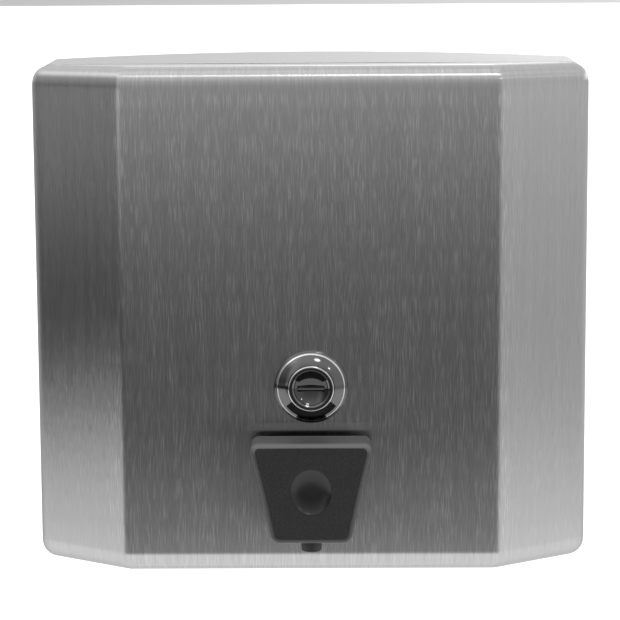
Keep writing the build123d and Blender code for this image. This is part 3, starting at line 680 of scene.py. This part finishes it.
def brushed_steel(name, place_of, grain, tangent, turned_grain=0.0, quiet_from=1.0):
    """Satin stainless steel, ground with a fine belt along one direction.

    The belt leaves long shallow scratches, so a reflection stays fairly sharp along the grain and
    smears across it. Real scratches are about 0.05 mm wide; here they are as wide as grain says,
    in millimetres, so that they show. Bands about eight grains broad make them come and go, and
    they fade out past quiet_from on either side and over the top and bottom rims.
    """
    material, tree = blank(name)
    place = place_of(tree)
    scaled = add(tree, "ShaderNodeMapping", {"Vector": place, "Scale": [1 / (g * MM) for g in grain]})
    fine = add(
        tree,
        "ShaderNodeTexNoise",
        {"Vector": scaled.outputs[0], "Scale": 1.0, "Detail": 3.0, "Roughness": 0.6},
    )
    broad = add(tree, "ShaderNodeMapping", {"Vector": place, "Scale": [0.12 / (g * MM) for g in grain]})
    bands = add(tree, "ShaderNodeTexNoise", {"Vector": broad.outputs[0], "Scale": 1.0, "Detail": 2.0})
    sparse = add(tree, "ShaderNodeMapping", {"Vector": place, "Scale": [0.9 / (g * MM) for g in grain]})
    cuts = add(tree, "ShaderNodeTexNoise", {"Vector": sparse.outputs[0], "Scale": 1.0, "Detail": 1.0})
    scratches = add(
        tree,
        "ShaderNodeMapRange",
        {"Value": cuts.outputs["Fac"], "From Min": 0.5, "From Max": 0.66, "To Min": 0.0, "To Max": 1.0},
    )
    across = add(tree, "ShaderNodeSeparateXYZ", {0: place})
    away = add(tree, "ShaderNodeMath", {0: across.outputs["X"]}, operation="ABSOLUTE")
    quiet = add(
        tree,
        "ShaderNodeMapRange",
        {
            "Value": away.outputs[0],
            "From Min": quiet_from,
            "From Max": quiet_from + 8 * MM,
            "To Min": 1.0,
            "To Max": 0.2,
        },
    )
    patches = add(
        tree,
        "ShaderNodeMapRange",
        {"Value": bands.outputs["Fac"], "From Min": 0.35, "From Max": 0.65, "To Min": 0.4, "To Max": 1.0},
    )
    on_piece = add(tree, "ShaderNodeTexCoord").outputs["Object"]
    level_place = add(tree, "ShaderNodeSeparateXYZ", {0: on_piece})
    off_middle = add(tree, "ShaderNodeMath", {0: level_place.outputs["Z"]}, operation="ABSOLUTE")
    worn_rim = add(
        tree,
        "ShaderNodeMapRange",
        {
            "Value": off_middle.outputs[0],
            "From Min": rim_edge - 3 * MM,
            "From Max": rim_edge + 1 * MM,
            "To Min": 1.0,
            "To Max": 0.3,
        },
    )
    shown = scratches.outputs[0]
    for share in (quiet.outputs[0], patches.outputs[0], worn_rim.outputs[0]):
        shown = add(tree, "ShaderNodeMath", {0: shown, 1: share}, operation="MULTIPLY").outputs[0]
    mixed = add(tree, "ShaderNodeMix", {0: 0.3, 2: fine.outputs["Fac"], 3: bands.outputs["Fac"]})
    greys = ((0.32, "#b4b4b4"), (0.68, "#c3c3c3"))
    colour = add(tree, "ShaderNodeValToRGB", {"Fac": mixed.outputs[0]}, greys).outputs["Color"]
    lit = add(
        tree, "ShaderNodeMix", {0: shown, 6: colour, 7: linear("#d6d6d6")}, data_type="RGBA"
    )
    rough = add(
        tree,
        "ShaderNodeMapRange",
        {"Value": mixed.outputs[0], "From Min": 0.3, "From Max": 0.7, "To Min": 0.2, "To Max": 0.26},
    )
    relief = add(tree, "ShaderNodeMix", {0: 0.5, 2: fine.outputs["Fac"], 3: scratches.outputs[0]})
    bump = add(
        tree, "ShaderNodeBump", {"Strength": 1.0, "Distance": 0.02 * MM, "Height": relief.outputs[0]}
    )
    shader = add(
        tree,
        "ShaderNodeBsdfPrincipled",
        {
            "Base Color": lit.outputs[2],
            "Metallic": 1.0,
            "Roughness": rough.outputs[0],
            "Normal": bump.outputs[0],
            "Anisotropic": 1.0,
            "Anisotropic Rotation": turned_grain,
            "Tangent": tangent(tree),
        },
    )
    add(tree, "ShaderNodeOutputMaterial", {"Surface": shader.outputs[0]})
    return material


def on_back_wall(tree):
    """1 where the housing's surface faces along Y, as its back wall does, and 0 elsewhere."""
    normal = add(tree, "ShaderNodeTexCoord").outputs["Normal"]
    facing = add(tree, "ShaderNodeSeparateXYZ", {0: normal})
    depthwise = add(tree, "ShaderNodeMath", {0: facing.outputs["Y"]}, operation="ABSOLUTE")
    return add(tree, "ShaderNodeMath", {0: depthwise.outputs[0], 1: 0.7}, operation="GREATER_THAN").outputs[0]


def housing_tangent(tree):
    """Direction along the housing's grain: round the box on its sides, upright on its back wall."""
    round_box = add(tree, "ShaderNodeTangent", direction_type="RADIAL", axis="Y").outputs[0]
    chosen = add(
        tree, "ShaderNodeMix", {0: on_back_wall(tree), 4: round_box, 5: (0, 0, 1)}, data_type="VECTOR"
    )
    return chosen.outputs[1]


def housing_place(tree):
    """Position on the housing, in metres, laid so that its second value always runs across the grain.

    On the sides and top that is the depth; on the back wall, which faces along Y, it is the width.
    """
    where = add(tree, "ShaderNodeTexCoord")
    place = add(tree, "ShaderNodeSeparateXYZ", {0: where.outputs["Object"]})
    back = on_back_wall(tree)
    across = add(tree, "ShaderNodeMix", {0: back, 2: place.outputs["Y"], 3: place.outputs["X"]})
    width = add(tree, "ShaderNodeMix", {0: back, 2: place.outputs["X"], 3: 0.0})
    return add(
        tree, "ShaderNodeCombineXYZ", {0: width.outputs[0], 1: across.outputs[0], 2: place.outputs["Z"]}
    ).outputs[0]


# The cover's map is its own sheet laid flat, in metres: across the grain, then along it.
cover_steel = brushed_steel(
    "satin_stainless_cover",
    lambda tree: add(tree, "ShaderNodeUVMap", uv_map="grain").outputs[0],
    (0.28, 6.5, 1.0),
    lambda tree: add(tree, "ShaderNodeTangent", direction_type="UV_MAP", uv_map="grain").outputs[0],
    quiet_from=half_panel * MM,
)
cover_sheet.data.materials.append(cover_steel)
housing_steel = brushed_steel(
    "satin_stainless_housing",
    housing_place,
    (8.0, 0.3, 8.0),
    housing_tangent,
    turned_grain=0.25,
)


def plain_metal(name, dark, light, roughness, spot=3.0):
    """Metal with no grain to see: zinc plate, rolled stainless sheet, drawn wire or polished steel.

    Rolling, drawing and plating leave faint cloudy differences in its shine, spot millimetres across.
    """
    material, tree = blank(name)
    place = add(tree, "ShaderNodeTexCoord").outputs["Object"]
    cloud = add(tree, "ShaderNodeTexNoise", {"Vector": place, "Scale": 1 / (spot * MM), "Detail": 3.0})
    shades = ((0.35, dark), (0.65, light))
    colour = add(tree, "ShaderNodeValToRGB", {"Fac": cloud.outputs["Fac"]}, shades).outputs["Color"]
    rough = add(
        tree,
        "ShaderNodeMapRange",
        {
            "Value": cloud.outputs["Fac"],
            "From Min": 0.3,
            "From Max": 0.7,
            "To Min": roughness * 0.8,
            "To Max": roughness * 1.2,
        },
    )
    shader = add(
        tree,
        "ShaderNodeBsdfPrincipled",
        {"Base Color": colour, "Metallic": 1.0, "Roughness": rough.outputs[0]},
    )
    add(tree, "ShaderNodeOutputMaterial", {"Surface": shader.outputs[0]})
    return material


def moulded(name, dark, light, roughness, grain=0.5, depth=0.01, clear=0.0):
    """Plastic or rubber from a mould whose fine grain it carries, such as ABS, acetal or silicone.

    The grain breaks up the highlight into a soft sheen; grain is its size and depth its height, in
    millimetres, and clear is the share of light that passes through.
    """
    material, tree = blank(name)
    place = add(tree, "ShaderNodeTexCoord").outputs["Object"]
    pits = add(
        tree,
        "ShaderNodeTexNoise",
        {"Vector": place, "Scale": 1 / (grain * MM), "Detail": 2.0, "Roughness": 0.5},
    )
    cloud = add(tree, "ShaderNodeTexNoise", {"Vector": place, "Scale": 1 / (9 * MM), "Detail": 2.0})
    shades = ((0.3, dark), (0.7, light))
    colour = add(tree, "ShaderNodeValToRGB", {"Fac": cloud.outputs["Fac"]}, shades).outputs["Color"]
    bump = add(
        tree, "ShaderNodeBump", {"Strength": 1.0, "Distance": depth * MM, "Height": pits.outputs["Fac"]}
    )
    shader = add(
        tree,
        "ShaderNodeBsdfPrincipled",
        {
            "Base Color": colour,
            "Roughness": roughness,
            "Normal": bump.outputs[0],
            "Transmission Weight": clear,
        },
    )
    add(tree, "ShaderNodeOutputMaterial", {"Surface": shader.outputs[0]})
    return material


def abs_with_painted_highlight():
    """Black ABS, moulded with an eroded grain on its flats, polished in its thumb dimple.

    The grain gives a dull speckle; its front edge and upper faces carry a painted grey highlight.
    The real grain is about 0.1 mm; it is drawn 0.35 mm wide so that it shows.
    """
    material, tree = blank("grained_black_abs")
    marks = add(tree, "ShaderNodeSeparateXYZ", {0: add(tree, "ShaderNodeUVMap", uv_map="grain").outputs[0]})
    edge, dimple = marks.outputs["X"], marks.outputs["Y"]
    place = add(tree, "ShaderNodeTexCoord").outputs["Object"]
    pits = add(tree, "ShaderNodeTexNoise", {"Vector": place, "Scale": 1 / (0.35 * MM), "Detail": 2.0})
    blacks = ((0.42, "#070707"), (0.66, "#242424"))
    speckle = add(tree, "ShaderNodeValToRGB", {"Fac": pits.outputs["Fac"]}, blacks).outputs["Color"]
    # Painted highlight: grey mixed in by the edge mark.
    painted_grey_highlight = add(tree, "ShaderNodeMix", {0: edge, 6: speckle, 7: linear("#646464")}, data_type="RGBA")
    polished = add(
        tree, "ShaderNodeMix", {0: dimple, 6: painted_grey_highlight.outputs[2], 7: linear("#0c0c0c")}, data_type="RGBA"
    )
    grained = add(tree, "ShaderNodeMapRange", {"Value": dimple, "To Min": 0.36, "To Max": 0.27})
    strength = add(tree, "ShaderNodeMapRange", {"Value": dimple, "To Min": 1.0, "To Max": 0.05})
    bump = add(
        tree,
        "ShaderNodeBump",
        {"Strength": strength.outputs[0], "Distance": 0.08 * MM, "Height": pits.outputs["Fac"]},
    )
    shader = add(
        tree,
        "ShaderNodeBsdfPrincipled",
        {"Base Color": polished.outputs[2], "Roughness": grained.outputs[0], "Normal": bump.outputs[0]},
    )
    add(tree, "ShaderNodeOutputMaterial", {"Surface": shader.outputs[0]})
    return material


def smoked_chrome():
    """Smoked chrome: a thin, dark, polished metal plating.

    It carries a painted highlight on the lock's two raised rings and painted shade on the recessed
    plug's face; each colour belongs to a distance from the lock's axis, in millimetres.
    """
    material, tree = blank("smoked_chrome_plate")
    place = add(tree, "ShaderNodeTexCoord").outputs["Object"]
    centred = add(tree, "ShaderNodeVectorMath", {0: place, 1: (0, 0, -lock_z * MM)}, operation="ADD")
    face_on = add(tree, "ShaderNodeVectorMath", {0: centred.outputs[0], 1: (1, 0, 1)}, operation="MULTIPLY")
    radius = add(tree, "ShaderNodeVectorMath", {0: face_on.outputs[0]}, operation="LENGTH")
    reach = 12.0
    share = add(
        tree, "ShaderNodeMath", {0: radius.outputs["Value"], 1: 1 / (reach * MM)}, operation="MULTIPLY"
    )
    # Painted shade on the recessed plug's face and a painted highlight on the two raised rings.
    plug, dark, bright = "#505051", "#6a6a6b", "#e8e8e8"
    rings = ((0, plug), (5.1, plug), (5.4, dark), (6.65, dark), (6.85, bright), (7.1, bright))
    rings += ((7.3, dark), (10.35, dark), (10.5, bright), (10.8, bright), (10.95, dark))
    shades = [(r / reach, shade) for r, shade in rings]
    colour = add(tree, "ShaderNodeValToRGB", {"Fac": share.outputs[0]}, shades).outputs["Color"]
    cloud = add(tree, "ShaderNodeTexNoise", {"Vector": place, "Scale": 1 / (2 * MM), "Detail": 2.0})
    rough = add(tree, "ShaderNodeMapRange", {"Value": cloud.outputs["Fac"], "To Min": 0.03, "To Max": 0.09})
    shader = add(
        tree,
        "ShaderNodeBsdfPrincipled",
        {"Base Color": colour, "Metallic": 1.0, "Roughness": rough.outputs[0]},
    )
    add(tree, "ShaderNodeOutputMaterial", {"Surface": shader.outputs[0]})
    return material


chrome = smoked_chrome()
ball_steel = plain_metal("polished_ball_steel", "#c4c5c6", "#d2d3d4", 0.06)
zinc = plain_metal("bright_zinc_plate", "#a9adb2", "#c2c6ca", 0.3, spot=2.0)
rolled = plain_metal("rolled_stainless", "#8f8f8d", "#a5a5a3", 0.35, spot=4.0)
drawn = plain_metal("drawn_spring_wire", "#8b8c8e", "#a0a1a3", 0.2, spot=1.5)
button_plastic = moulded("grained_black_abs", "#0a0a0a", "#101010", 0.36, grain=0.4, depth=0.12)
black_plastic = moulded("black_polypropylene", "#101011", "#161617", 0.45, grain=0.6, depth=0.01)
rubber = moulded("black_rubber", "#131313", "#1b1b1b", 0.75, grain=0.8, depth=0.02)
acetal = moulded("white_acetal", "#dcdad4", "#e6e4de", 0.35, grain=1.0, depth=0.004)
silicone = moulded("clear_silicone", "#cfd0cc", "#dcddd9", 0.3, grain=1.0, depth=0.004, clear=0.4)
polyethylene = moulded("natural_polyethylene", "#d5d6cf", "#e1e2db", 0.4, grain=2.5, depth=0.03, clear=0.25)

slot_materials = {
    "brushed_shell": housing_steel,
    "plain_steel": rolled,
    "rivet_steel": rolled,
    "zinc_plate": zinc,
    "black_rubber": rubber,
    "seal_rubber": rubber,
    "clear_silicone": silicone,
    "natural_polyethylene": polyethylene,
    "black_plastic": black_plastic,
    "button_plastic": button_plastic,
    "acetal_white": acetal,
    "polished_steel": ball_steel,
    "spring_steel": drawn,
    "lock_chrome": chrome,
}
for part in frame["record"]["subparts"]:
    node = frame["nodes"][part["node"]]
    for place in node.material_slots:
        place.material = slot_materials[part["material_slot"]]
for made, material in (
    (button, abs_with_painted_highlight()),
    (flap, chrome),
    (spring, drawn),
    (lock_trim, chrome),
    (lock_bezel, chrome),
    (nozzle, button_plastic),
):
    made.data.materials.append(material)

# ---- Floor and light ----
floor_reach = 60.0
floor_height = -0.45
floor_corners = [
    (x * floor_reach, y * floor_reach, floor_height) for x, y in ((-1, -1), (1, -1), (1, 1), (-1, 1))
]
floor_mesh = bpy.data.meshes.new("floor")
floor_mesh.from_pydata(floor_corners, [], [(0, 1, 2, 3)])
floor = bpy.data.objects.new("floor", floor_mesh)
bpy.context.scene.collection.objects.link(floor)
floor_paint, tree = blank("pale_floor")
paint = add(
    tree,
    "ShaderNodeBsdfPrincipled",
    {
        "Base Color": linear("#f4f4f4"),
        "Roughness": 0.9,
        "Emission Color": linear("#ffffff"),
        "Emission Strength": 0.6,
    },
)
add(tree, "ShaderNodeOutputMaterial", {"Surface": paint.outputs[0]})
floor_mesh.materials.append(floor_paint)
floor.visible_glossy = False

world = bpy.data.worlds.new("studio")
world.use_nodes = True
bpy.context.scene.world = world
tree = world.node_tree
tree.nodes.clear()
way = add(tree, "ShaderNodeTexCoord").outputs["Generated"]
parts = add(tree, "ShaderNodeSeparateXYZ", {0: way})
height = add(tree, "ShaderNodeMath", {0: parts.outputs["Z"], 1: 0.5, 2: 0.5}, operation="MULTIPLY_ADD")


def by_height(stops):
    """Studio brightness by the height of a direction, from (degrees above level, brightness) stops."""
    heights = [(0.5 + 0.5 * math.sin(math.radians(degrees)), bright) for degrees, bright in stops]
    return add(tree, "ShaderNodeValToRGB", {"Fac": height.outputs[0]}, heights).outputs["Color"]


ahead = by_height(
    ((-60, 1.15), (-24, 1.15), (-18, 0.34), (-15, 0.27), (-13.7, 0.3), (-12.6, 0.16), (-11.6, 0.08))
    + ((-9, 0.13), (-6.5, 0.17), (-4.5, 0.28), (-2.6, 0.41), (6, 0.45), (25, 0.62), (40, 0.85))
    + ((50, 1.05), (62, 1.1), (80, 1.1))
)
glow = by_height(
    ((-60, 1.15), (-24, 1.15), (-16, 0.45), (-12.5, 0.1), (-10.5, 0.0), (-7.5, 0.02), (-5, 0.5))
    + ((-3, 1.2), (4, 0.6), (36, 1.1), (80, 1.1))
)
left = by_height(
    ((-60, 1.2), (-19, 1.2), (-14.5, 1.12), (-13, 1.05), (-11.6, 0.65), (-10.2, 0.23), (-8.8, 0.04))
    + ((-7.5, 0.08), (-5.5, 0.18), (-3, 0.27), (3, 0.18), (18, 0.35), (32, 0.5), (48, 1.6), (80, 1.2))
)
right_side = by_height(
    ((-60, 1.2), (-19, 1.2), (-14, 1.12), (-12.7, 0.95), (-11.3, 0.7), (-9, 0.6), (-5.5, 0.66))
    + ((-2.6, 0.8), (3, 0.75), (18, 0.75), (36, 0.9), (60, 0.8), (80, 1.1))
)
behind_left = by_height(
    ((-60, 1.0), (-5, 0.55), (3, 0.55), (6, 0.85), (20, 0.85), (45, 1.1), (60, 0.9), (80, 1.1))
)
behind_right = by_height(
    ((-60, 1.0), (-5, 0.8), (3, 0.7), (6, 2.3), (10, 2.3), (20, 0.9), (45, 0.9))
    + ((60, 0.85), (80, 1.1))
)
flat = add(tree, "ShaderNodeCombineXYZ", {0: parts.outputs["X"], 1: parts.outputs["Y"]})
level_way = add(tree, "ShaderNodeVectorMath", {0: flat.outputs[0]}, operation="NORMALIZE")
sides = add(tree, "ShaderNodeSeparateXYZ", {0: level_way.outputs[0]})


def crossfade(part, low, high, first, second):
    """Brightness going smoothly from first to second as a level direction's X or Y goes low to high."""
    share = add(
        tree,
        "ShaderNodeMapRange",
        {"Value": sides.outputs[part], "From Min": low, "From Max": high},
        interpolation_type="SMOOTHSTEP",
    )
    return add(
        tree, "ShaderNodeMix", {0: share.outputs[0], 6: first, 7: second}, data_type="RGBA"
    ).outputs[2]


studio = crossfade("X", -0.38, -0.6, ahead, glow)
studio = crossfade("X", -0.7, -0.86, studio, left)
studio = crossfade("X", 0.3, 0.85, studio, right_side)
behind = crossfade("X", -0.16, 0.14, behind_left, behind_right)
studio = crossfade("Y", 0.2, 0.55, studio, behind)
background = add(tree, "ShaderNodeBackground", {"Color": studio, "Strength": 1.0})
add(tree, "ShaderNodeOutputWorld", {"Surface": background.outputs[0]})


def lamp(name, way, distance, width, brightness):
    """A round lamp in the given direction from the lock, facing it, of even brightness."""
    light = bpy.data.lights.new(name, "AREA")
    light.shape = "DISK"
    light.size = width
    light.energy = brightness * math.pi * math.pi * width * width / 4
    made = bpy.data.objects.new(name, light)
    bpy.context.scene.collection.objects.link(made)
    way = Vector(way).normalized()
    made.location = Vector((0, front * MM, lock_z * MM)) + way * distance
    made.rotation_euler = way.to_track_quat("Z", "Y").to_euler()


lamp("overhead_lamp", (0.22, -0.5, 0.84), 1.2, 0.26, 6.0)
lamp("side_lamp", (0.61, -0.6, 0.51), 1.5, 0.12, 10.0)
